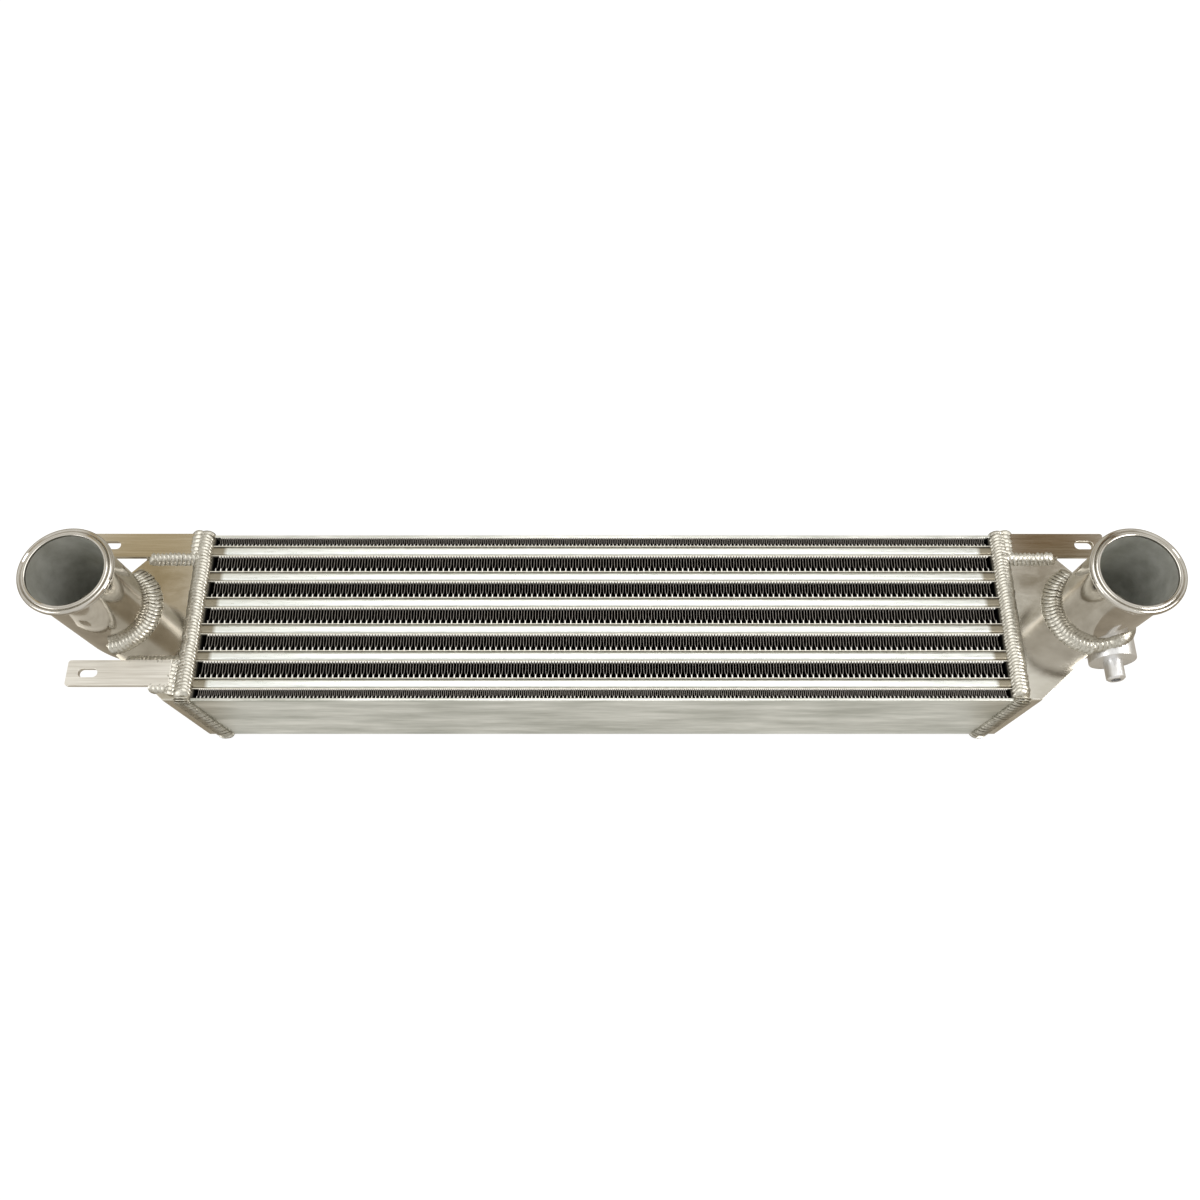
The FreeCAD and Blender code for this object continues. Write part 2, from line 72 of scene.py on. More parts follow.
@dataclass(frozen=True)
class Layout:
    """Places that several pieces share, in millimetres and degrees."""

    header_x: float = 281
    half_width: float = 62.5
    base: float = 2.3
    top: float = 78.3
    sheet: float = 3
    near_bend: float = 294.5
    near_turn: float = 41.5
    far_bend: float = 303
    far_turn: float = 46.5
    floor_bend: float = 294.5
    floor_climb: float = 46
    neck_x: float = 340
    neck_y: float = 4.8
    neck_radius: float = 27.25

    def outline(self, inset: float = 0) -> list[Pair]:
        """The tank's plan on the right side, drawn in by a wall's thickness.

        Args:
            inset: distance of the line inside the tank's outer faces.

        Returns:
            Corners from the near end of the joint round the tank to its far end.
        """
        near, far = math.radians(self.near_turn), math.radians(self.far_turn)
        near_x = self.near_bend - inset * math.tan(near / 2)
        far_x = self.far_bend - inset * math.tan(far / 2)
        side = self.half_width - inset
        return [(self.header_x, -side), (near_x, -side),
                (self.neck_x, (self.neck_x - near_x) * math.tan(near) - side),
                (self.neck_x, side - (self.neck_x - far_x) * math.tan(far)),
                (far_x, side), (self.header_x, side)]

    def under_floor(self) -> list[Pair]:
        """The room below the inner face of the climbing floor, on the right side.

        Returns:
            Corners along X and up Z.
        """
        climb = math.radians(self.floor_climb)
        start = self.floor_bend - self.sheet * math.tan(climb / 2)
        tip = self.neck_x + self.neck_radius + self.sheet
        low = self.base + self.sheet
        return [(start, low), (tip, low + (tip - start) * math.tan(climb)),
                (tip, -self.sheet), (start, -self.sheet)]


LAYOUT = Layout()


def linear(colour: str) -> Colour:
    """Turn an sRGB hex value into a linear colour.

    Args:
        colour: six hex digits, with or without a leading hash.

    Returns:
        Red, green, blue and an alpha of 1.
    """
    digits = colour.lstrip("#")
    parts = [int(digits[place:place + 2], 16) / 255 for place in (0, 2, 4)]
    toned = [part / 12.92 if part <= 0.04045 else ((part + 0.055) / 1.055) ** 2.4 for part in parts]
    return toned[0], toned[1], toned[2], 1.0


def add_node(tree: bpy.types.NodeTree, kind: str, inputs: dict | None = None, **settings) -> bpy.types.Node:
    """Add a node with its settings and its links.

    Args:
        tree: the node tree it goes into.
        kind: Blender's name of the node type.
        inputs: socket name or number to a value, or to the output that feeds it.
        settings: properties of the node itself.

    Returns:
        The new node.
    """
    node = tree.nodes.new(kind)
    for name, value in settings.items():
        setattr(node, name, value)
    for name, value in (inputs or {}).items():
        if isinstance(value, bpy.types.NodeSocket):
            tree.links.new(value, node.inputs[name])
        else:
            node.inputs[name].default_value = value
    return node


def set_stops(ramp: bpy.types.Node, stops: Sequence[Stop]) -> None:
    """Give a colour ramp its stops.

    Args:
        ramp: the colour ramp node.
        stops: place from 0 to 1 and hex colour of each stop, in order.
    """
    elements = ramp.color_ramp.elements
    while len(elements) < len(stops):
        elements.new(1.0)
    for element, (place, colour) in zip(elements, stops):
        element.position = place
        element.color = linear(colour)


def shade_by(tree: bpy.types.NodeTree, value: bpy.types.NodeSocket, span: float,
             *stops: Stop) -> bpy.types.NodeSocket:
    """Let a colour follow a value.

    Args:
        tree: the node tree it goes into.
        value: the value that it follows.
        span: the value at the end of the scale that starts at 0.
        stops: value and hex colour of each stop, in order.

    Returns:
        The colour.
    """
    share = add_node(tree, "ShaderNodeMapRange", {"Value": value, "From Max": span})
    made = add_node(tree, "ShaderNodeValToRGB", {"Fac": share.outputs[0]})
    set_stops(made, [(place / span, colour) for place, colour in stops])
    return made.outputs["Color"]


def blend(tree: bpy.types.NodeTree, first: Colour | bpy.types.NodeSocket,
          second: Colour | bpy.types.NodeSocket, value: bpy.types.NodeSocket,
          edge: Pair) -> bpy.types.NodeSocket:
    """Pass from one colour to another along a value.

    Args:
        tree: the node tree it goes into.
        first: the colour below the edge, or the output that gives it.
        second: the colour above it, or the output that gives it.
        value: the value that decides.
        edge: the values at which the passage starts and ends.

    Returns:
        The mixed colour.
    """
    share = add_node(tree, "ShaderNodeMapRange", {"Value": value, "From Min": edge[0], "From Max": edge[1]})
    mixed = add_node(tree, "ShaderNodeMix", {"Factor": share.outputs[0], "A": first, "B": second},
                     data_type="RGBA")
    return mixed.outputs["Result"]


def millimetres(values: Sequence[float]) -> Vector:
    """A place in the frame from its millimetres."""
    return Vector(values) * MM


def deselect_all() -> None:
    """Leave nothing selected, in object mode."""
    if bpy.context.object and bpy.context.object.mode != "OBJECT":
        bpy.ops.object.mode_set(mode="OBJECT")
    bpy.ops.object.select_all(action="DESELECT")


def make_active(piece: bpy.types.Object) -> None:
    """Select one piece alone and make it the active one."""
    deselect_all()
    piece.select_set(True)
    bpy.context.view_layer.objects.active = piece


@contextmanager
def edit_mode(piece: bpy.types.Object) -> Iterator[None]:
    """Work on a piece in edit mode with all of it selected.

    Args:
        piece: the mesh to edit.

    Yields:
        Nothing; object mode comes back at the end.
    """
    make_active(piece)
    bpy.ops.object.mode_set(mode="EDIT")
    bpy.ops.mesh.select_mode(type="VERT")
    bpy.ops.mesh.select_all(action="SELECT")
    yield
    bpy.ops.object.mode_set(mode="OBJECT")


def draw_line(name: str, points: Sequence[Triple]) -> bpy.types.Object:
    """Draw a line of edges by extruding one corner from point to point.

    Args:
        name: the new object's name.
        points: the line's points in millimetres.

    Returns:
        The object, at the origin.
    """
    deselect_all()
    bpy.ops.mesh.primitive_plane_add(size=MM, location=millimetres(points[0]))
    line = bpy.context.object
    line.name = name
    bpy.ops.object.transform_apply(location=True, rotation=True, scale=True)
    with edit_mode(line):
        bpy.ops.mesh.merge(type="CENTER")
        for start, end in zip(points, points[1:]):
            step = millimetres(end) - millimetres(start)
            bpy.ops.mesh.extrude_region_move(TRANSFORM_OT_translate={"value": step})
    return line


def draw_prism(name: str, corners: Sequence[Triple], run: Triple) -> bpy.types.Object:
    """Extrude a closed outline into a solid.

    Args:
        name: the new object's name.
        corners: the outline's corners in millimetres, in order.
        run: the way and length of the extrusion in millimetres.

    Returns:
        The solid, with its faces outwards.
    """
    prism = draw_line(name, corners)
    with edit_mode(prism):
        bpy.ops.mesh.edge_face_add()
        bpy.ops.mesh.extrude_region_move(TRANSFORM_OT_translate={"value": millimetres(run)})
        bpy.ops.mesh.select_all(action="SELECT")
        bpy.ops.mesh.normals_make_consistent(inside=False)
    return prism


def turn_profile(name: str, points: Sequence[Triple], centre: Triple, axis: Triple,
                 steps: int) -> bpy.types.Object:
    """Turn a closed section round an axis, as on a lathe.

    Args:
        name: the new object's name.
        points: the section's corners in millimetres, in order.
        centre: a point on the axis in millimetres.
        axis: the axis's direction.
        steps: how many parts the turn has.

    Returns:
        The turned piece, closed and with its faces outwards.
    """
    turned = draw_line(name, points)
    with edit_mode(turned):
        bpy.ops.mesh.edge_face_add()
        bpy.ops.mesh.delete(type="ONLY_FACE")
        bpy.ops.mesh.select_all(action="SELECT")
        bpy.ops.mesh.spin(steps=steps, angle=2 * math.pi, center=millimetres(centre), axis=axis)
        bpy.ops.mesh.select_all(action="SELECT")
        bpy.ops.mesh.remove_doubles(threshold=MERGE_DISTANCE)
        bpy.ops.mesh.normals_make_consistent(inside=False)
    return turned


def apply_modifier(piece: bpy.types.Object, kind: str, **settings) -> None:
    """Give a piece one modifier and apply it.

    Args:
        piece: the mesh that gets it.
        kind: Blender's name of the modifier type.
        settings: the modifier's properties.
    """
    make_active(piece)
    modifier = piece.modifiers.new(kind.title(), kind)
    for name, value in settings.items():
        setattr(modifier, name, value)
    bpy.ops.object.modifier_apply(modifier=modifier.name)


def carve(piece: bpy.types.Object, *cutters: bpy.types.Object) -> None:
    """Take solids away from a piece and drop them.

    Args:
        piece: the mesh that is cut.
        cutters: the solids, each removed after its cut.
    """
    for cutter in cutters:
        apply_modifier(piece, "BOOLEAN", operation="DIFFERENCE", solver="EXACT", object=cutter)
        bpy.data.objects.remove(cutter)


def join(pieces: Sequence[bpy.types.Object]) -> bpy.types.Object:
    """Join pieces into one.

    Args:
        pieces: the meshes, the one that stays first.

    Returns:
        The first piece, with the others in it.
    """
    deselect_all()
    for piece in pieces:
        piece.select_set(True)
    bpy.context.view_layer.objects.active = pieces[0]
    bpy.ops.object.join()
    return pieces[0]


def smooth(piece: bpy.types.Object, angle: float = 35) -> None:
    """Shade a piece smooth apart from edges sharper than an angle in degrees."""
    make_active(piece)
    bpy.ops.object.shade_smooth_by_angle(angle=math.radians(angle))


def dress(piece: bpy.types.Object, *materials: bpy.types.Material) -> None:
    """Give a new piece its materials.

    Args:
        piece: the mesh that gets them.
        materials: the finishes; the first one goes on all faces.
    """
    piece.data.materials.clear()
    for material in materials:
        piece.data.materials.append(material)


def dress_node(node: str, material: bpy.types.Material) -> None:
    """Give a CAD node a material in its own slots.

    Args:
        node: the CAD node.
        material: what it is made of.
    """
    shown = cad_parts[node]
    if not shown.material_slots:
        shown.data.materials.append(material)
    for place in shown.material_slots:
        place.material = material


def set_out(piece: bpy.types.Object, slot: str, *nodes: str) -> bpy.types.Object:
    """Let a finished piece ride on the body and stand for its CAD nodes.

    Args:
        piece: the finished mesh.
        slot: the record's material slot; not used.
        nodes: the CAD nodes it replaces.

    Returns:
        The same piece.
    """
    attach(piece, "root")
    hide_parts(*nodes)
    log.info("%s has %d faces", piece.name, len(piece.data.polygons))
    return piece


def copy_node(node: str) -> bpy.types.Object:
    """Copy a CAD node as a clean mesh without its triangles' inner edges.

    Args:
        node: the CAD node.

    Returns:
        The copy, ready for edge work.
    """
    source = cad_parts[node]
    copy = bpy.data.objects.new(f"{node}_edged", source.data.copy())
    bpy.context.scene.collection.objects.link(copy)
    make_active(copy)
    bpy.ops.mesh.customdata_custom_splitnormals_clear()
    with edit_mode(copy):
        bpy.ops.mesh.remove_doubles(threshold=MERGE_DISTANCE)
        bpy.ops.mesh.dissolve_limited(angle_limit=math.radians(1))
    return copy


def round_edges(piece: bpy.types.Object, width: float, wanted: EdgeTest) -> None:
    """Round the edges of a piece whose ends pass a test.

    Args:
        piece: the mesh to work on.
        width: width of the rounding in millimetres.
        wanted: tells from an edge's two ends, in metres, whether it is rounded.
    """
    with edit_mode(piece):
        bpy.ops.mesh.select_mode(type="EDGE")
        bpy.ops.mesh.select_all(action="DESELECT")
    places = piece.data.vertices
    for edge in piece.data.edges:
        edge.select = wanted(*(places[corner].co for corner in edge.vertices))
    bpy.ops.object.mode_set(mode="EDIT")
    bpy.ops.mesh.bevel(offset=width * MM, segments=4, affect="EDGES")
    bpy.ops.object.mode_set(mode="OBJECT")


def soften(node: str, slot: str, material: bpy.types.Material, width: float,
           wanted: EdgeTest | None = None, round_width: float = 1.0) -> bpy.types.Object:
    """Make a copy of a CAD node with its edges broken, and show that.

    The big flat faces settle the shading of the broken edges, so that they mirror as flat sheet does.

    Args:
        node: the CAD node.
        slot: the record's material slot.
        material: what the copy is made of.
        width: width of the broken edges in millimetres.
        wanted: picks the edges that get a broad rounding instead, by their ends in metres.
        round_width: width of that rounding in millimetres.

    Returns:
        The copy, which replaces the node.
    """
    copy = copy_node(node)
    if wanted:
        round_edges(copy, round_width, wanted)
    apply_modifier(copy, "BEVEL", width=width * MM, segments=2, limit_method="ANGLE",
                   angle_limit=math.radians(40))
    smooth(copy)
    apply_modifier(copy, "WEIGHTED_NORMAL", keep_sharp=True, weight=100)
    dress(copy, material)
    return set_out(copy, slot, node)


def line_inside(piece: bpy.types.Object, material: bpy.types.Material, middle: Vector,
                least: float = 0.3) -> None:
    """Give the faces that look towards a room's middle a finish of their own.

    Args:
        piece: a wall of the room.
        material: finish of its inner faces.
        middle: the room's middle in metres.
        least: smallest cosine between a face's normal and its way to the middle.
    """
    piece.data.materials.append(material)
    for face in piece.data.polygons:
        if face.normal.dot((middle - face.center).normalized()) > least:
            face.material_index = 1


@dataclass(frozen=True)
class Metal:
    """A bare aluminium surface: two tones that drift into each other, and its gloss."""

    name: str
    light: str
    dark: str
    roughness: float
    roughness_drift: float
    grain: Triple
    bump_height: float
    metallic: float = 1.0

    def material(self) -> bpy.types.Material:
        """Build the material.

        Returns:
            A material whose pattern follows the object's own millimetres.
        """
        made = bpy.data.materials.new(self.name)
        made.use_nodes = True
        tree = made.node_tree
        tree.nodes.clear()
        place = add_node(tree, "ShaderNodeTexCoord")
        stretched = add_node(tree, "ShaderNodeMapping", {"Vector": place.outputs["Object"],
                                                         "Scale": [1 / (size * MM) for size in self.grain]})
        grain = add_node(tree, "ShaderNodeTexNoise", {"Vector": stretched.outputs[0], "Scale": 1.0,
                                                      "Detail": 4.0, "Roughness": 0.6})
        tone = add_node(tree, "ShaderNodeValToRGB", {"Fac": grain.outputs["Fac"]})
        set_stops(tone, [(0.32, self.dark), (0.68, self.light)])
        gloss = add_node(tree, "ShaderNodeMapRange", {
            "Value": grain.outputs["Fac"], "From Min": 0.3, "From Max": 0.7,
            "To Min": self.roughness - self.roughness_drift, "To Max": self.roughness + self.roughness_drift})
        bump = add_node(tree, "ShaderNodeBump", {"Height": grain.outputs["Fac"], "Strength": 0.3,
                                                 "Distance": self.bump_height * MM})
        shader = add_node(tree, "ShaderNodeBsdfPrincipled", {
            "Base Color": tone.outputs["Color"], "Metallic": self.metallic, "Roughness": gloss.outputs[0],
            "Normal": bump.outputs[0]})
        self.fade(tree, place, tone, shader)
        add_node(tree, "ShaderNodeOutputMaterial", {"Surface": shader.outputs[0]})
        return made

    def fade(self, tree: bpy.types.NodeTree, place: bpy.types.Node, tone: bpy.types.Node,
             shader: bpy.types.Node) -> None:
        """Change the surface from place to place; a plain metal stays as it is."""


@dataclass(frozen=True)
class Faded(Metal):
    """A metal that passes into another colour along one axis, counted both ways from a centre; for the
    sheets, fins, filler and end bars it is painted shade that darkens them down inside the core.
    """

    other: str = "#101010"
    axis: str = "Z"
    centre: float = (LAYOUT.base + LAYOUT.top) / 2
    kept_at: float = (LAYOUT.top - LAYOUT.base) / 2
    lost_at: float = 0
    # Whether the gloss fades out with the colour; in the core this is painted shade.
    matt: bool = True

    def fade(self, tree: bpy.types.NodeTree, place: bpy.types.Node, tone: bpy.types.Node,
             shader: bpy.types.Node) -> None:
        """Mix the other colour in, and fade the gloss out with it where asked; in the core both are painted
        shade of the deep passages.

        Args:
            tree: the material's node tree.
            place: the node that gives the object's own coordinates.
            tone: the node that gives the metal's colour.
            shader: the metal's shader.
        """
        axes = add_node(tree, "ShaderNodeSeparateXYZ", {"Vector": place.outputs["Object"]})
        moved = add_node(tree, "ShaderNodeMath", {0: axes.outputs[self.axis], 1: self.centre * MM},
                         operation="SUBTRACT")
        away = add_node(tree, "ShaderNodeMath", {0: moved.outputs[0]}, operation="ABSOLUTE")
        share = add_node(tree, "ShaderNodeMapRange", {"Value": away.outputs[0], "From Min": self.lost_at * MM,
                                                      "From Max": self.kept_at * MM})
        mixed = add_node(tree, "ShaderNodeMix", {"Factor": share.outputs[0], "A": linear(self.other),
                                                 "B": tone.outputs["Color"]}, data_type="RGBA")
        tree.links.new(mixed.outputs["Result"], shader.inputs["Base Color"])
        if self.matt:
            for name, full in (("Metallic", self.metallic), ("Specular IOR Level", 0.5)):
                left = add_node(tree, "ShaderNodeMath", {0: share.outputs[0], 1: full}, operation="MULTIPLY")
                tree.links.new(left.outputs[0], shader.inputs[name])


class Finishes:
    """Every finish of the intercooler, made once."""

    def __init__(self) -> None:
        """Build the materials."""
        # Mill-finish plate, drawn through rollers: long cloudy streaks and a satin grey.
        self.side_plate = Metal("mill_aluminium_plate", "#f0f0eb", "#b5b6ad", 0.34, 0.06, (70, 12, 12), 0.02,
                                0.8).material()
        # Extruded bar, brushed clean after brazing and dull at its ends: the brightest surface.
        self.bar = Faded("brushed_aluminium_bar", "#f2f4f1", "#dee1dd", 0.3, 0.05, (14, 0.9, 0.9), 0.02,
                         other="#968f7f", axis="X", centre=0, kept_at=265.5, lost_at=268.5,
                         matt=False).material()
        # Short brazed bars at the row ends: dark grey, with painted shade that darkens them to near black
        # down inside the core.
        self.end_bar = Faded("brazed_aluminium_bar", "#6a665d", "#4b4841", 0.42, 0.08, (3, 6, 3), 0.04,
                             lost_at=36).material()
        # Rolled brazing sheet: pale at the faces, with painted shade that darkens it to near black down in
        # the core.
        self.sheet = Faded("brazed_aluminium_sheet", "#efece2", "#cfcabd", 0.5, 0.05, (3, 3, 3), 0.02, 0.5,
                           lost_at=35.6).material()
        # Thin fin stock: painted shade greys it and darkens it to near black down the passages, leaving its
        # cut edges at the faces light.
        self.fin = Faded("aluminium_fin_stock", "#a19c96", "#77726d", 0.45, 0.05, (2, 2, 2), 0.02,
                         kept_at=37.2, lost_at=36.4).material()
        # Braze filler that ran into the fins' crowns: small fillets, painted pure white as a highlight of the
        # lit crowns, with painted shade down in the core.
        self.braze = Faded("aluminium_braze_filler", "#ffffff", "#f0ece2", 0.45, 0.05, (1, 1, 1), 0.02, 0.4,
                           lost_at=35.6).material()
        # Rolled tank sheet, half polished: clear reflections with a light haze.
        self.tank = Metal("half_polished_aluminium_sheet", "#d9d4c9", "#c3beb2", 0.11, 0.03, (30, 18, 24),
                          0.02).material()
        # The same sheet polished less far: its mirror images blur into clouds.
        self.hazy_tank = Metal("hazy_aluminium_sheet", "#e6e3db", "#cdc9c0", 0.15, 0.04, (30, 18, 24),
                               0.02).material()
        # Buffed tube: a mirror with the faintest haze.
        self.neck = Metal("polished_aluminium_tube", "#d2cec7", "#bdb8b0", 0.09, 0.02, (16, 16, 16),
                          0.01).material()
        # Bore and inner walls as they were rolled: dull grey that scatters the light.
        self.bore = Metal("dull_aluminium_bore", "#dadbd6", "#bdbeb7", 0.42, 0.06, (12, 12, 12), 0.03,
                          0.5).material()
        # Hand-laid weld: grey overlapping crescents that catch the light on their crowns.
        self.weld = Metal("aluminium_weld_bead", "#d6d3ca", "#a9a59a", 0.31, 0.06, (1.4, 1.4, 1.4),
                          0.04).material()
        # Sawn strip, brushed along its length: fine bright lines.
        self.bracket = Metal("brushed_aluminium_strip", "#d6d0c4", "#c6c0b4", 0.1, 0.02, (40, 1.4, 1.4),
                             0.015).material()
        # The same strip in a paler, rougher copy for the near-left strip: the paler tone is painted light,
        # and the strip is too fine-grained to mirror.
        self.pale_bracket = Metal("scoured_aluminium_strip", "#ece9e2", "#d2cdc3", 0.34, 0.06,
                                  (40, 1.2, 1.2), 0.03, 0.75).material()
        # Lathe-turned bar: clean and bright, with fine lines along its axis.
        self.turned = Metal("turned_aluminium", "#f6f6f6", "#dcdcde", 0.32, 0.05, (0.7, 8, 0.7), 0.02,
                            0.85).material()


@dataclass(frozen=True)
class Ripple:
    """One ripple of a hand-laid weld: a short length of bead with a bowed front, in millimetres."""

    pitch: float
    width: float
    height: float
    bow: float
    corners: int = 16
    rings: tuple[Pair, ...] = ((-0.35, 0.82), (0.1, 0.88), (0.55, 1.0), (1.0, 0.92))
    yaw: float = 5
    width_spread: Pair = (0.96, 1.04)
    height_spread: Pair = (0.95, 1.03)

    def build(self, name: str) -> bpy.types.Object:
        """Extrude a leaning ring along X, swelling it and drawing it in again.

        Args:
            name: the new piece's name.

        Returns:
            The ripple round the origin, with its way of travel along X.
        """
        deselect_all()
        bpy.ops.mesh.primitive_circle_add(vertices=self.corners, radius=MM, fill_type="NGON",
                                          rotation=(0, -math.pi / 4, 0))
        piece = bpy.context.object
        piece.name = name
        first, scale = self.rings[0]
        pitch = self.pitch * MM
        piece.scale = (self.bow * math.sqrt(2), self.width / 2, self.height * math.sqrt(2))
        piece.location = (first * pitch, 0, 0)
        bpy.ops.object.transform_apply(location=True, rotation=True, scale=True)
        with edit_mode(piece):
            bpy.ops.transform.resize(value=(scale,) * 3, center_override=(first * pitch, 0, 0))
            for (place, size), (last_place, last_size) in zip(self.rings[1:], self.rings):
                step = (place - last_place) * pitch
                bpy.ops.mesh.extrude_region_move(TRANSFORM_OT_translate={"value": (step, 0, 0)})
                grown = size / last_size
                bpy.ops.transform.resize(value=(grown,) * 3, center_override=(place * pitch, 0, 0))
            bpy.ops.mesh.select_all(action="SELECT")
            bpy.ops.mesh.normals_make_consistent(inside=False)
        smooth(piece, angle=70)
        return piece


@dataclass(frozen=True)
class Station:
    """Where a ripple sits: its place in millimetres, its way of travel and the way out of the metal.

    A stretch under 1 shortens the ripple along its way of travel.
    """

    place: Vector
    along: Vector
    out: Vector
    stretch: float = 1.0


def straight_stations(start: Triple, end: Triple, out: Triple, pitch: float) -> list[Station]:
    """Space stations evenly along a straight run.

    Args:
        start: first place in millimetres.
        end: last place in millimetres.
        out: the way out of the metal.
        pitch: wanted distance between stations.

    Returns:
        The stations, both ends included.
    """
    first, last = Vector(start), Vector(end)
    count = max(1, round((last - first).length / pitch))
    along = (last - first).normalized()
    return [Station(first.lerp(last, step / count), along, Vector(out).normalized())
            for step in range(count + 1)]


def arc_stations(centre: Triple, radius: float, first: Triple, second: Triple,
                 out: Callable[[Vector], Vector], start: float, end: float, pitch: float) -> list[Station]:
    """Space stations evenly along an arc.

    Args:
        centre: the arc's centre in millimetres.
        radius: its radius in millimetres.
        first: direction of the angle 0.
        second: direction of the angle 90.
        out: gives the way out of the metal from the way out of the arc.
        start: first angle in degrees.
        end: last angle in degrees.
        pitch: wanted distance between stations.

    Returns:
        The stations, both ends included.
    """
    sweep = math.radians(end - start)
    count = max(1, round(abs(sweep) * radius / pitch))
    stations = []
    for step in range(count + 1):
        angle = math.radians(start) + sweep * step / count
        outward = Vector(first) * math.cos(angle) + Vector(second) * math.sin(angle)
        along = (Vector(second) * math.cos(angle) - Vector(first) * math.sin(angle)) * math.copysign(1, sweep)
        stations.append(Station(Vector(centre) + outward * radius, along, out(outward).normalized()))
    return stations


def lay_bead(name: str, stations: Sequence[Station], ripple: Ripple, seed: int) -> bpy.types.Object:
    """Lay a weld: one ripple is modelled, then copied from station to station.

    Args:
        name: the new piece's name.
        stations: where the ripples go.
        ripple: shape of each ripple.
        seed: number that settles their small differences.

    Returns:
        The bead as one piece at the origin.
    """
    chance = random.Random(seed)
    first = ripple.build(name)
    pieces = []
    for station in stations:
        copy = first.copy()
        copy.data = first.data.copy()
        bpy.context.scene.collection.objects.link(copy)
        across = station.out.cross(station.along).normalized()
        turn = Matrix((station.along, across, station.out)).transposed().to_4x4()
        yaw = Matrix.Rotation(math.radians(chance.uniform(-ripple.yaw, ripple.yaw)), 4, "Z")
        width, height = chance.uniform(*ripple.width_spread), chance.uniform(*ripple.height_spread)
        size = Matrix.Diagonal((station.stretch, width, height, 1))
        copy.matrix_world = Matrix.Translation(station.place * MM) @ turn @ yaw @ size
        pieces.append(copy)
    bpy.data.objects.remove(first)
    bead = join(pieces)
    bpy.ops.object.transform_apply(location=True, rotation=True, scale=True)
    bead.name = name
    bead.data.name = name
    return bead


def weld_on(node: str, stations: Sequence[Station], ripple: Ripple, seed: int,
            material: bpy.types.Material) -> None:
    """Lay a weld in the place of a plain one.

    Args:
        node: the CAD weld; the new piece has "bead" in its name instead of "weld".
        stations: where the ripples go.
        ripple: shape of each ripple.
        seed: number that settles their small differences.
        material: what the weld is made of.
    """
    bead = lay_bead(node.replace("weld", "bead"), stations, ripple, seed)
    dress(bead, material)
    set_out(bead, "weld", node)


@dataclass
class FinRow:
    """One row of folded cooling fin between two sheets, in millimetres."""

    node: str
    finishes: Finishes
    pitch: float
    strip: float = 0.26
    waver: float = 0.35
    end_reach: float = 0.4
    waver_size: float = 14
    crown_gap: float = 0.15
    flush: float = 0.7
    filler_depth: float = 2.5
    stem: Pair = (0.21, 0.19)
    wedge: Pair = (0.36, 0.1)

    def build(self) -> None:
        """Fold one wave of the strip, repeat it along the row and wander it a little."""
        low, high = (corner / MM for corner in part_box(self.node))
        start = low.x - self.end_reach
        length = high.x - low.x + 2 * self.end_reach
        rise = high.y - low.y
        folds = round(length / self.pitch)
        wave = length / folds
        fin = draw_line(f"{self.node}_folded", [(start + along * wave, low.y + across * rise, low.z)
                                                for along, across in self.wave_line(rise)])
        with edit_mode(fin):
            bpy.ops.mesh.extrude_region_move(TRANSFORM_OT_translate={"value": (0, 0, (high.z - low.z) * MM)})
        self.repeat(fin, folds, wave)
        apply_modifier(fin, "SOLIDIFY", thickness=self.strip * MM, offset=0)
        dress(fin, self.finishes.fin)
        filler = self.fillers(start, low, high, wave)
        self.repeat(filler, folds, wave)
        # Painted highlight: the filler is pure white where the crowns catch the light.
        dress(filler, self.finishes.braze)
        join([fin, filler])
        waver = bpy.data.textures.new(f"{self.node}_waver", "CLOUDS")
        waver.noise_scale = self.waver_size * MM
        apply_modifier(fin, "DISPLACE", texture=waver, texture_coords="LOCAL", direction="X",
                       strength=self.waver * MM, mid_level=0.5)
        smooth(fin, angle=50)
        set_out(fin, "cooling_fin", self.node)

    def repeat(self, piece: bpy.types.Object, folds: int, wave: float) -> None:
        """Copy one wave's piece along the row.

        Args:
            piece: the piece of the first wave.
            folds: how many waves the row has.
            wave: length of one wave in millimetres.
        """
        apply_modifier(piece, "ARRAY", count=folds, use_relative_offset=False, use_constant_offset=True,
                       constant_offset_displace=(wave * MM, 0, 0), use_merge_vertices=True,
                       merge_threshold=0.01 * MM)

    def fillers(self, start: float, low: Vector, high: Vector, wave: float) -> bpy.types.Object:
        """Braze filler of one wave, painted white as a highlight of the lit crowns: half stems at its near
        crowns, and wedges at the far sheet.

        The widths are shares of the wave, and the heights are shares of the row's height.

        Args:
            start: X of the wave's near crown.
            low: lowest corner of the row.
            high: highest corner of the row.
            wave: length of one wave.

        Returns:
            The filler at the top face and at the bottom one, as one piece.
        """
        rise = high.y - low.y
        stem, stem_top = self.stem[0] * wave, low.y + self.stem[1] * rise
        wedge, wedge_foot = self.wedge[0] * wave, high.y - self.wedge[1] * rise
        made = []
        for level, run in ((high.z + self.flush, -self.filler_depth),
                           (low.z - self.flush, self.filler_depth)):
            for foot, inner in ((start, 1), (start + wave, -1)):
                corners = [(foot, low.y, level), (foot + inner * stem / 2, low.y, level),
                           (foot + inner * stem / 3, stem_top, level), (foot, stem_top, level)]
                made.append(draw_prism("stem", corners, (0, 0, run)))
            for middle in (start + wave / 2, start + wave):
                corners = [(middle - wedge / 2, high.y, level), (middle + wedge / 2, high.y, level),
                           (middle + wedge / 5, wedge_foot, level), (middle - wedge / 5, wedge_foot, level)]
                made.append(draw_prism("wedge", corners, (0, 0, run)))
        return join(made)

    def wave_line(self, rise: float) -> list[Pair]:
        """One wave of the strip as shares of its pitch and of the row's height.

        Args:
            rise: the row's height.

        Returns:
            Points from a crown on the near sheet over the far crown to the next near crown.
        """
        gap = self.crown_gap / rise
        half = [(0.0, gap), (0.055, gap), (0.06, 0.15), (0.1, 0.21), (0.19, 0.28), (0.245, 0.37),
                (0.262, 0.5), (0.266, 0.95), (0.3, 1 - gap), (0.5, 1 - gap)]
        return half + [(1 - along, across) for along, across in reversed(half[:-1])]


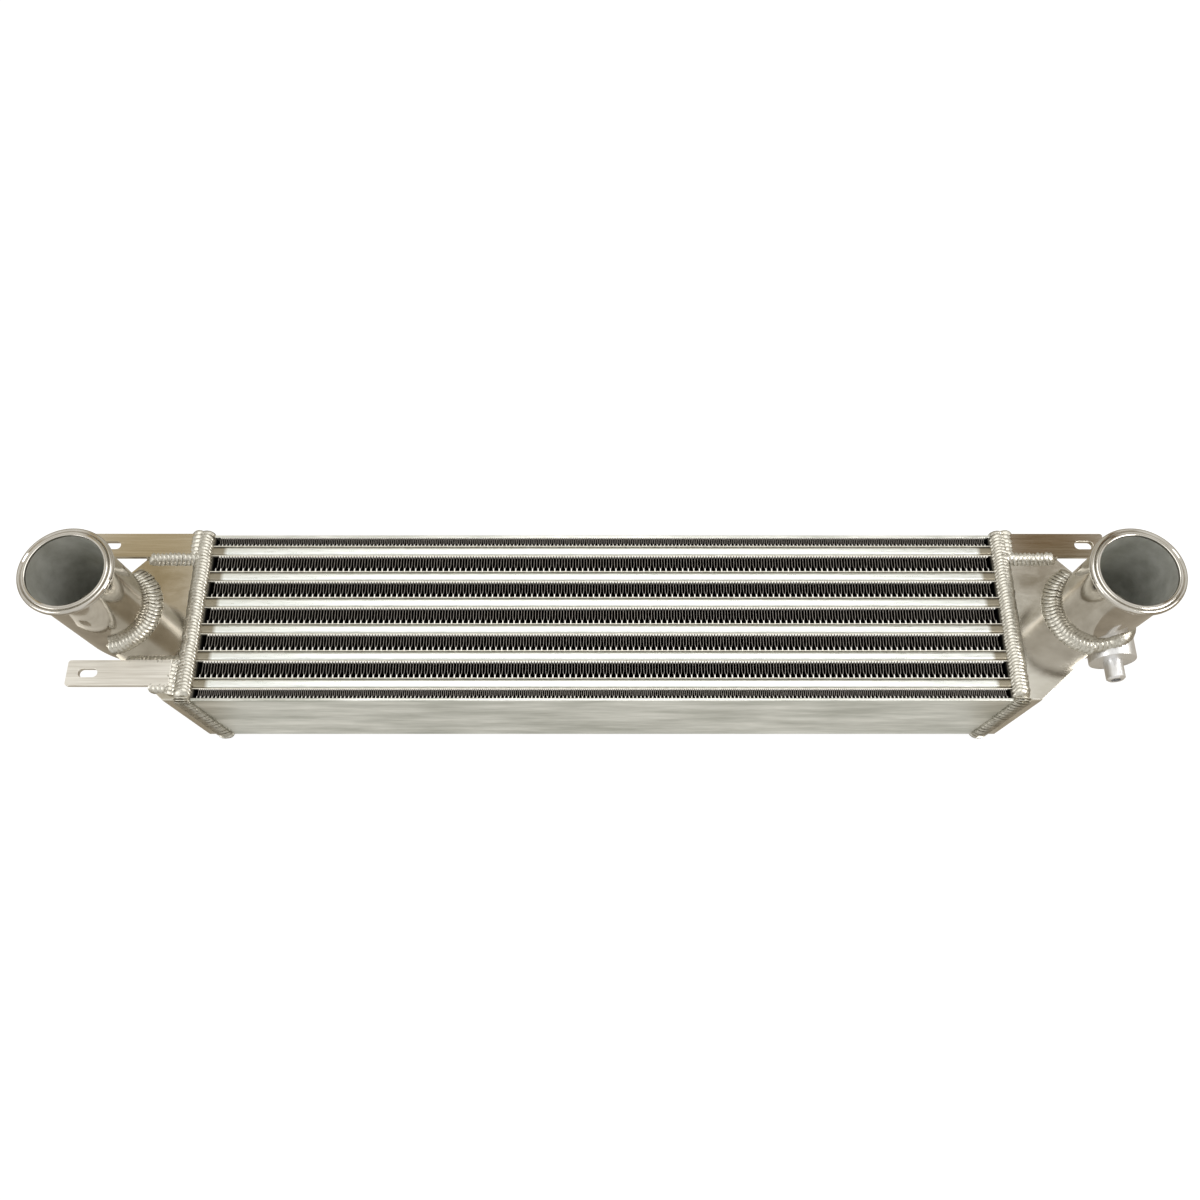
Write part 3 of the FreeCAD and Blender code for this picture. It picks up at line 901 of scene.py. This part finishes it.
@dataclass
class Core:
    """The bar-and-plate core between the two tanks."""

    finishes: Finishes
    passages: int = 6
    broken_edge: float = 0.4
    full_pitch: float = 3.92
    edge_pitch: float = 2.62

    def build(self) -> None:
        """Dress the bars, plates and sheets, and fold the fins."""
        for side in ("near", "far"):
            soften(f"side_plate_{side}", "side_plate", self.finishes.side_plate, self.broken_edge)
        for number in range(1, self.passages + 1):
            for face in ("top", "bottom"):
                dress_node(f"charge_bar_{face}_{number}", self.finishes.bar)
            dress_node(f"parting_sheets_{number}", self.finishes.sheet)
            dress_node(f"turbulator_{number}", self.finishes.fin)
        for side in Side:
            dress_node(f"end_bars_{side.word}", self.finishes.end_bar)
        rows = self.passages + 1
        for number in range(1, rows + 1):
            pitch = self.edge_pitch if number in (1, rows) else self.full_pitch
            FinRow(f"cooling_fin_{number}", self.finishes, pitch).build()
        log.info("core is dressed")


@dataclass
class EndTank:
    """One welded tank with the bead round its joint to the core, in millimetres."""

    side: Side
    finishes: Finishes
    layout: Layout = LAYOUT
    broken_edge: float = 0.3
    seam: float = 1.5
    top_slack: float = 0.05
    joint_slack: float = 0.1
    neck_slack: float = 0.3
    room_reach: float = 30
    bead_shift: float = 0.9
    ripple: Ripple = Ripple(2.4, 12.2, 2.3, 3.6)
    run_start: float = 1.0
    run_end: float = 4.4
    corner: float = 1.6
    corner_turn: float = 64
    corner_pitch: float = 0.53
    corner_stretch: float = 0.35
    seed: int = 11

    def build(self) -> None:
        """Break the sheets' edges and lay the joint's bead."""
        word = self.side.word
        finish = self.finishes.tank if self.side is Side.LEFT else self.finishes.hazy_tank
        middle = millimetres((self.side.value * (self.layout.header_x + self.room_reach), 0,
                              self.layout.top / 2))
        for part in ("top", "wall_near", "wall_far", "floor"):
            sheet = soften(f"tank_{part}_{word}", "tank_sheet", finish, self.broken_edge, self.is_seam,
                           self.seam)
            line_inside(sheet, self.finishes.bore, middle)
        weld_on(f"joint_weld_{word}", self.joint_stations(), self.ripple, self.seed + self.side.value,
                self.finishes.weld)

    def is_seam(self, start: Vector, end: Vector) -> bool:
        """Whether an edge is an outer seam of the top plate, away from the joint and the neck.

        Args:
            start: the edge's first end in metres.
            end: its second end in metres.

        Returns:
            True for an outer seam.
        """
        axis = millimetres((self.side.value * self.layout.neck_x, self.layout.neck_y, 0))
        near_neck = (self.layout.neck_radius + self.neck_slack) * MM
        below = (self.layout.top - self.top_slack) * MM
        joint = (self.layout.header_x + self.joint_slack) * MM
        for place in (start, end):
            if (place.xy - axis.xy).length < near_neck or place.z < below:
                return False
        return abs(start.x) > joint or abs(end.x) > joint

    def joint_stations(self) -> list[Station]:
        """Stations round the joint: along its four faces and round the corners between them.

        Returns:
            The stations, in the order in which they are welded.
        """
        x = self.side.value * (self.layout.header_x + self.bead_shift)
        half_wide = self.layout.half_width - self.corner
        half_high = (self.layout.top - self.layout.base) / 2 - self.corner
        middle = (self.layout.top + self.layout.base) / 2
        stations = []
        for out, along, reach, run in (((0, -1, 0), (0, 0, 1), half_wide, half_high),
                                       ((0, 0, 1), (0, 1, 0), half_high, half_wide),
                                       ((0, 1, 0), (0, 0, -1), half_wide, half_high),
                                       ((0, 0, -1), (0, -1, 0), half_high, half_wide)):
            face = Vector((x, 0, middle)) + Vector(out) * (reach + self.corner)
            start = face - Vector(along) * (run - self.run_start)
            end = face + Vector(along) * (run - self.run_end)
            stations += straight_stations(start, end, out, self.ripple.pitch)
            centre = face + Vector(along) * run - Vector(out) * self.corner
            turned = arc_stations(centre, self.corner, out, along, Vector.copy, 0, self.corner_turn,
                                  self.corner_pitch)
            stations += [replace(station, stretch=self.corner_stretch) for station in turned]
        return stations


@dataclass
class Neck:
    """One polished neck with its rolled bead and the weld at its foot, in millimetres."""

    side: Side
    finishes: Finishes
    layout: Layout = LAYOUT
    wall: float = 2.5
    rise: float = 58
    bead_height: float = 3.3
    bead_width: float = 3.8
    bead_drop: float = 2.1
    bead_turn: int = 100
    bead_step: int = 20
    groove: float = 0.7
    groove_ease: Pair = (0.25, 0.2)
    lip_round: float = 0.5
    lip_cut: float = 0.15
    lip_depth: float = 1.5
    rings: tuple[float, ...] = (-4, 2, 20, 38)
    steps: int = 144
    ripple: Ripple = Ripple(2.6, 12.6, 3.0, 3.8)
    weld_lift: float = 0.7
    weld_lean: float = 0.65
    weld_radius: float = 29.9
    weld_start: float = 66
    weld_end: float = -70
    seed: int = 31

    def build(self) -> None:
        """Turn the tube, mitre its foot, and lay the weld round it."""
        x, y = self.side.value * self.layout.neck_x, self.layout.neck_y
        points = [(x + radius, y, z) for radius, z in self.section()]
        tube = turn_profile(f"neck_tube_{self.side.word}", points, (x, y, 0), (0, 0, 1), self.steps)
        carve(tube, *self.cutters())
        smooth(tube, angle=40)
        dress(tube, self.finishes.neck, self.finishes.bore)
        self.dress_bore(tube)
        set_out(tube, "neck_tube", f"neck_{self.side.word}")
        weld_on(f"neck_weld_{self.side.word}", self.weld_stations(), self.ripple, self.seed + self.side.value,
                self.finishes.weld)

    def section(self) -> list[Pair]:
        """The tube's wall as radii and heights, from the foot up the outside and down the bore.

        Returns:
            Corners of the closed section.
        """
        outer, foot, top = self.layout.neck_radius, self.layout.base, self.layout.top
        mouth = top + self.rise
        level = mouth - self.bead_drop
        bore = outer - self.wall
        round_radius = self.bead_width / 2
        middle = outer + self.bead_height - round_radius
        turns = [math.radians(turn) for turn in range(-self.bead_turn, self.bead_turn + 1, self.bead_step)]
        ease_out, ease_up = self.groove_ease
        soft, cut = self.lip_round, self.lip_cut
        outside = [(outer, foot)] + [(outer, top + ring) for ring in self.rings]
        outside += [(outer, level - self.groove), (outer + ease_out, level - self.groove - ease_up)]
        outside += [(middle + round_radius * math.cos(turn), level + round_radius * math.sin(turn))
                    for turn in turns]
        outside += [(outer + ease_out, level + self.groove + ease_up), (outer, level + self.groove)]
        lip = [(outer, mouth - soft), (outer - cut, mouth - cut), (outer - soft, mouth),
               (bore + soft, mouth), (bore + cut, mouth - cut), (bore, mouth - soft)]
        return outside + lip + [(bore, mouth - self.lip_depth), (bore, top), (bore, foot)]

    def cutters(self) -> list[bpy.types.Object]:
        """Solids that open the foot to the tank and mitre it on the tank's floor.

        Returns:
            The room of the tank and the room under its floor's inner face.
        """
        sign = self.side.value
        low, high = self.layout.base - 1, self.layout.top - self.layout.sheet
        hollow = draw_prism("room", [(sign * x, y, low) for x, y in self.layout.outline(self.layout.sheet)],
                            (0, 0, high - low))
        wide = self.layout.half_width
        wedge = draw_prism("wedge", [(sign * x, -wide, z) for x, z in self.layout.under_floor()],
                           (0, 2 * wide, 0))
        return [hollow, wedge]

    def dress_bore(self, tube: bpy.types.Object) -> None:
        """Give the tube's inner faces the dull finish.

        Args:
            tube: the turned tube, with the dull finish as its second one.
        """
        centre = millimetres((self.side.value * self.layout.neck_x, self.layout.neck_y, 0))
        limit = (self.layout.top + self.rise - 1) * MM
        for face in tube.data.polygons:
            away = face.center - centre
            away.z = 0
            if face.normal.dot(away) < 0 and face.center.z < limit:
                face.material_index = 1

    def weld_stations(self) -> list[Station]:
        """Stations round the neck's foot, from the far diagonal edge to the near one.

        Returns:
            Stations on the inner side of the neck.
        """
        sign = self.side.value
        centre = (sign * self.layout.neck_x, self.layout.neck_y, self.layout.top + self.weld_lift)
        return arc_stations(centre, self.weld_radius, (-sign, 0, 0), (0, 1, 0), self.lean_out,
                            self.weld_start, self.weld_end, self.ripple.pitch)

    def lean_out(self, outward: Vector) -> Vector:
        """The way out of the corner between the tube and the plate."""
        return Vector((outward.x * self.weld_lean, outward.y * self.weld_lean, 1))


@dataclass
class Bracket:
    """One slotted strip and the weld along it, in millimetres."""

    name: str
    side: Side
    finishes: Finishes
    start: float
    weld_edge: int
    closing_run: float = 0
    # Whether the strip takes the paler copy of its finish, which paints light on it.
    scoured: bool = False
    layout: Layout = LAYOUT
    broken_edge: float = 0.35
    run: float = 33
    weld_stand: float = 0.7
    weld_lean: float = 0.4
    end_short: float = 3
    closing_slant: float = 1
    ripple: Ripple = Ripple(3.0, 11.2, 4.9, 3.2)

    def build(self) -> None:
        """Break the strip's edges and lay its weld."""
        finish = self.finishes.pale_bracket if self.scoured else self.finishes.bracket
        soften(f"bracket_{self.name}", "bracket", finish, self.broken_edge)
        weld_on(f"bracket_weld_{self.name}", self.weld_stations(), self.ripple,
                len(self.name) + self.side.value, self.finishes.weld)

    def weld_stations(self) -> list[Station]:
        """Stations along the strip's inner edge, round its end and, if wanted, back along its other edge.

        Returns:
            The stations in the order in which they are welded.
        """
        low, high = (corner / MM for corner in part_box(f"bracket_{self.name}"))
        sign, up = self.side.value, self.layout.top
        stand, lean, pitch = self.weld_stand, self.weld_lean, self.ripple.pitch
        edge = high.y + stand if self.weld_edge > 0 else low.y - stand
        other = low.y - stand if self.weld_edge > 0 else high.y - self.end_short
        x_end = sign * (self.layout.header_x + self.start - stand)
        x_run = x_end + sign * self.run
        stations = straight_stations((x_run, edge, up), (x_end, edge, up),
                                     (0, self.weld_edge * lean, 1), pitch)
        stations += straight_stations((x_end, edge, up), (x_end, other, up), (-sign * lean, 0, 1), pitch)
        if self.closing_run:
            x_close = x_end + sign * self.closing_run
            stations += straight_stations((x_end, other - self.closing_slant, up), (x_close, other, up),
                                          (0, -self.weld_edge * lean, 1), pitch)
        return stations


@dataclass
class Port:
    """The port on the right neck: a turned boss, its nipple and the weld, in millimetres."""

    finishes: Finishes
    layout: Layout = LAYOUT
    axis_x: float = 352.2
    axis_z: float = 70.3
    face_y: float = -31.2
    boss_radius: float = 14.8
    boss_length: float = 20
    nipple_radius: float = 6
    nipple_length: float = 13.5
    bore: float = 3.2
    chamfer: float = 1.2
    edge_round: float = 0.6
    edge_cut: float = 0.2
    weld_stand: float = 1.4
    weld_lean: float = 0.5
    weld_from: Triple = (329.5, -24.6, 79.2)
    weld_start: int = -36
    weld_end: int = 62
    weld_turn: int = 2
    weld_step: float = 0.5
    steps: int = 96
    tube_steps: int = 144
    ripple: Ripple = Ripple(2.8, 9.4, 3.2, 2.6)
    seed: int = 5

    def build(self) -> None:
        """Turn the boss and the nipple and lay the weld over the boss."""
        radius, edge, cut = self.boss_radius, self.edge_round, self.edge_cut
        boss = self.turned("port_boss_turned", [(self.bore, 0), (radius - edge, 0), (radius - cut, cut),
                                                (radius, edge), (radius, self.boss_length),
                                                (self.bore, self.boss_length)])
        deselect_all()
        height = 2 * self.layout.top
        bpy.ops.mesh.primitive_cylinder_add(
            vertices=self.tube_steps, radius=self.layout.neck_radius * MM, depth=height * MM,
            location=millimetres((self.layout.neck_x, self.layout.neck_y, self.layout.top)))
        tube = bpy.context.object
        carve(boss, tube, draw_prism("plan", [(x, y, 0) for x, y in self.layout.outline()], (0, 0, height)))
        smooth(boss, angle=30)
        dress(boss, self.finishes.turned)
        set_out(boss, "port", "port_boss")
        nipple = self.turned("port_nipple_turned", [(self.bore, 0), (self.bore, -self.nipple_length),
                                                    (self.nipple_radius - self.chamfer, -self.nipple_length),
                                                    (self.nipple_radius, self.chamfer - self.nipple_length),
                                                    (self.nipple_radius, 0)])
        smooth(nipple, angle=30)
        dress(nipple, self.finishes.turned)
        set_out(nipple, "port", "port_nipple")
        weld_on("port_weld", self.weld_stations(), self.ripple, self.seed, self.finishes.weld)

    def weld_stations(self) -> list[Station]:
        """Stations from the end of the neck's weld to the boss, and along the line where boss and tube meet.

        Returns:
            The stations in the order in which they are welded.
        """
        start, met = Vector(self.weld_from), self.meeting_line(self.weld_start)
        approach = straight_stations(start, met, (0, 0, 1), self.weld_step)[:-1]
        places = [station.place for station in approach]
        places += [self.meeting_line(turn)
                   for turn in range(self.weld_start, self.weld_end + 1, self.weld_turn)]
        stations, travelled = [], 0.0
        for place, following in zip(places, places[1:]):
            step = following - place
            travelled += step.length
            if not stations or travelled >= self.ripple.pitch:
                travelled = 0.0
                outward = Vector((place.x - self.axis_x, 0, place.z - self.axis_z)).normalized()
                out = outward + Vector((0, -self.weld_lean, 0))
                along = step.normalized()
                stations.append(Station(place, along, (out - along * out.dot(along)).normalized()))
        return stations

    def meeting_line(self, turn: float) -> Vector:
        """A place in the corner between the boss and the tube.

        Args:
            turn: angle about the boss's axis in degrees, 0 at its top and rising to the right.

        Returns:
            The place in millimetres.
        """
        x = self.axis_x + self.boss_radius * math.sin(math.radians(turn))
        z = self.axis_z + self.boss_radius * math.cos(math.radians(turn))
        depth = math.sqrt(self.layout.neck_radius ** 2 - (x - self.layout.neck_x) ** 2)
        return Vector((x, self.layout.neck_y - depth - self.weld_stand, z))

    def turned(self, name: str, section: Sequence[Pair]) -> bpy.types.Object:
        """Turn a section about the port's axis.

        Args:
            name: the new piece's name.
            section: radii and distances beyond the boss's face.

        Returns:
            The turned piece.
        """
        points = [(self.axis_x + radius, self.face_y + along, self.axis_z) for radius, along in section]
        return turn_profile(name, points, (self.axis_x, self.face_y, self.axis_z), (0, 1, 0), self.steps)


@dataclass(frozen=True)
class Lamp:
    """A soft rectangular lamp that faces the object, in metres and watts."""

    name: str
    place: Triple
    size: Pair
    power: float

    def hang(self) -> None:
        """Add the lamp to the scene."""
        deselect_all()
        bpy.ops.object.light_add(type="AREA", location=self.place)
        lamp = bpy.context.object
        lamp.name = self.name
        lamp.data.shape = "RECTANGLE"
        lamp.data.size, lamp.data.size_y = self.size
        lamp.data.energy = self.power
        lamp.rotation_euler = (-Vector(self.place)).to_track_quat("-Z", "Y").to_euler()


@dataclass
class Studio:
    """White floor, soft light and the camera, in metres and degrees.

    The room that the metal mirrors is drawn on a ceiling one unit above the object. An edge says between
    which places one wall passes into the next.
    """

    floor_size: float = 14
    floor_drop: float = 0.0002
    paper: str = "#f4f4f4"
    # Painted reflection: the floor glows with these tints in glossy rays only, duller over the core and
    # browner past the tanks.
    mirror_of_core: str = "#cfcdc5"
    mirror_of_tanks: str = "#998d77"
    mirror_edge: Pair = (0.275, 0.3)
    mirror_share: float = 0.85
    white_strength: float = 1.1
    white_share: float = 0.84
    least_rise: float = 0.05
    middle_edge: Pair = (-0.3, 0.3)
    outer_edge: Pair = (0.62, 0.67)
    wall_edge: Pair = (0.485, 0.497)
    beside_edge: Pair = (0.5, 0.56)
    ahead_edge: Pair = (0.29, 0.345)
    backdrop_strength: float = 1.05
    lamps: tuple[Lamp, ...] = (Lamp("overhead", (0.0, 0.55, 2.2), (1.6, 1.1), 9.0),
                               Lamp("left_side", (-1.5, -0.5, 1.3), (0.8, 0.8), 5.0),
                               Lamp("right_side", (1.3, -0.1, 1.3), (0.6, 0.6), 9.0))
    lens: float = 26.81
    shift: Pair = (-0.0017, 0.1)
    camera_place: Triple = (0.0, -0.2597, 0.6441)
    camera_pitch: float = 72.02

    def build(self) -> None:
        """Make the floor, the light and the camera."""
        self.make_floor()
        self.make_world()
        for lamp in self.lamps:
            lamp.hang()
        self.make_camera()
        bpy.context.scene.view_settings.view_transform = "Standard"

    def make_floor(self) -> None:
        """A floor that is white to the eye and keeps the shadow; in reflections it glows duller, browner past
        the tanks: a painted reflection.
        """
        deselect_all()
        bpy.ops.mesh.primitive_plane_add(size=self.floor_size, location=(0, 0, -self.floor_drop))
        floor = bpy.context.object
        floor.name = "studio_floor"
        made = bpy.data.materials.new("white_paper")
        made.use_nodes = True
        tree = made.node_tree
        tree.nodes.clear()
        paper = add_node(tree, "ShaderNodeBsdfDiffuse", {"Color": linear(self.paper)})
        white = add_node(tree, "ShaderNodeEmission", {"Color": (1, 1, 1, 1), "Strength": self.white_strength})
        seen = add_node(tree, "ShaderNodeMixShader", {"Fac": self.white_share, 1: paper.outputs[0],
                                                      2: white.outputs[0]})
        place = add_node(tree, "ShaderNodeTexCoord")
        axes = add_node(tree, "ShaderNodeSeparateXYZ", {"Vector": place.outputs["Object"]})
        reach = add_node(tree, "ShaderNodeMath", {0: axes.outputs["X"]}, operation="ABSOLUTE")
        tint = blend(tree, linear(self.mirror_of_core), linear(self.mirror_of_tanks), reach.outputs[0],
                     self.mirror_edge)
        # Painted reflection: glossy rays see the floor glow with this tint.
        painted_reflection = add_node(tree, "ShaderNodeEmission", {"Color": tint, "Strength": 1.0})
        mirrored = add_node(tree, "ShaderNodeMixShader", {"Fac": self.mirror_share, 1: paper.outputs[0],
                                                          2: painted_reflection.outputs[0]})
        ray = add_node(tree, "ShaderNodeLightPath")
        glossy = add_node(tree, "ShaderNodeMixShader", {
            "Fac": ray.outputs["Is Glossy Ray"], 1: paper.outputs[0], 2: mirrored.outputs[0]})
        shown = add_node(tree, "ShaderNodeMixShader", {
            "Fac": ray.outputs["Is Camera Ray"], 1: glossy.outputs[0], 2: seen.outputs[0]})
        add_node(tree, "ShaderNodeOutputMaterial", {"Surface": shown.outputs[0]})
        floor.data.materials.append(made)

    def make_world(self) -> None:
        """A room that is white behind the camera and over the core, with warm walls past the two tanks."""
        world = bpy.data.worlds.new("studio")
        bpy.context.scene.world = world
        world.use_nodes = True
        tree = world.node_tree
        tree.nodes.clear()
        way = add_node(tree, "ShaderNodeTexCoord")
        axes = add_node(tree, "ShaderNodeSeparateXYZ", {"Vector": way.outputs["Generated"]})
        across, along, up = (axes.outputs[name] for name in "XYZ")
        # Each direction is followed to a ceiling one unit up: how far aside it is there, and how far ahead.
        rise = add_node(tree, "ShaderNodeMath", {0: up, 1: self.least_rise}, operation="MAXIMUM").outputs[0]
        reach = add_node(tree, "ShaderNodeMath", {0: across}, operation="ABSOLUTE").outputs[0]
        aside = add_node(tree, "ShaderNodeMath", {0: reach, 1: rise}, operation="DIVIDE").outputs[0]
        ahead = add_node(tree, "ShaderNodeMath", {0: along, 1: rise}, operation="DIVIDE").outputs[0]
        left = shade_by(tree, ahead, 1, (0.34, "#cdc7b9"), (0.42, "#bfb8a7"), (0.49, "#b2a07d"),
                        (0.525, "#b2a07d"), (0.55, "#cdbf9f"), (0.9, "#b2a07d"))
        right = shade_by(tree, ahead, 1, (0.34, "#f2f0ea"), (0.42, "#dad6cb"), (0.49, "#837861"),
                         (0.53, "#837861"), (0.545, "#867155"), (0.9, "#867155"))
        above = shade_by(tree, ahead, 4, (0.6, "#fbfbf7"), (0.66, "#ccc8bb"), (1.6, "#ccc8bb"),
                         (3.0, "#e6e3da"))
        behind = shade_by(tree, up, 1, (0.0, "#867e6d"), (0.25, "#cbc6ba"), (0.45, "#f6f5f1"))
        beside = shade_by(tree, across, 1, (0.0, "#ebe9e3"), (0.3, "#ebe9e3"), (0.5, "#b8ae9c"))
        outer = shade_by(tree, up, 1, (0.0, "#a39b8a"), (0.35, "#d6d1c5"), (0.6, "#f6f5f1"))
        sides = blend(tree, left, right, across, self.middle_edge)
        walls = blend(tree, sides, outer, aside, self.outer_edge)
        far = blend(tree, above, walls, aside, self.wall_edge)
        near = blend(tree, behind, beside, aside, self.beside_edge)
        colour = blend(tree, near, far, ahead, self.ahead_edge)
        room = add_node(tree, "ShaderNodeBackground", {"Color": colour, "Strength": 1.0})
        plain = add_node(tree, "ShaderNodeBackground", {"Color": (1, 1, 1, 1),
                                                        "Strength": self.backdrop_strength})
        ray = add_node(tree, "ShaderNodeLightPath")
        mixed = add_node(tree, "ShaderNodeMixShader", {
            "Fac": ray.outputs["Is Camera Ray"], 1: room.outputs[0], 2: plain.outputs[0]})
        add_node(tree, "ShaderNodeOutputWorld", {"Surface": mixed.outputs[0]})

    def make_camera(self) -> None:
        """Stand the camera where the photograph was taken."""
        deselect_all()
        turn = (math.radians(90 - self.camera_pitch), 0, 0)
        bpy.ops.object.camera_add(location=self.camera_place, rotation=turn)
        camera = bpy.context.object
        camera.data.lens = self.lens
        camera.data.sensor_width = 36
        camera.data.shift_x, camera.data.shift_y = self.shift
        camera.data.clip_start = 0.02
        camera.data.clip_end = 60
        bpy.context.scene.camera = camera


def main() -> None:
    """Build the studio and every piece, in order."""
    logging.basicConfig(level=logging.INFO, format="%(message)s")
    Studio().build()
    finishes = Finishes()
    Core(finishes).build()
    for side in Side:
        EndTank(side, finishes).build()
        Neck(side, finishes).build()
    Bracket("far_left", Side.LEFT, finishes, start=6, weld_edge=-1).build()
    Bracket("far_right", Side.RIGHT, finishes, start=6, weld_edge=-1).build()
    Bracket("near_left", Side.LEFT, finishes, start=10, weld_edge=1, closing_run=9, scoured=True,
            ripple=Ripple(2.8, 8.8, 4.2, 2.8)).build()
    Port(finishes).build()


if __name__ == "__main__":
    main()
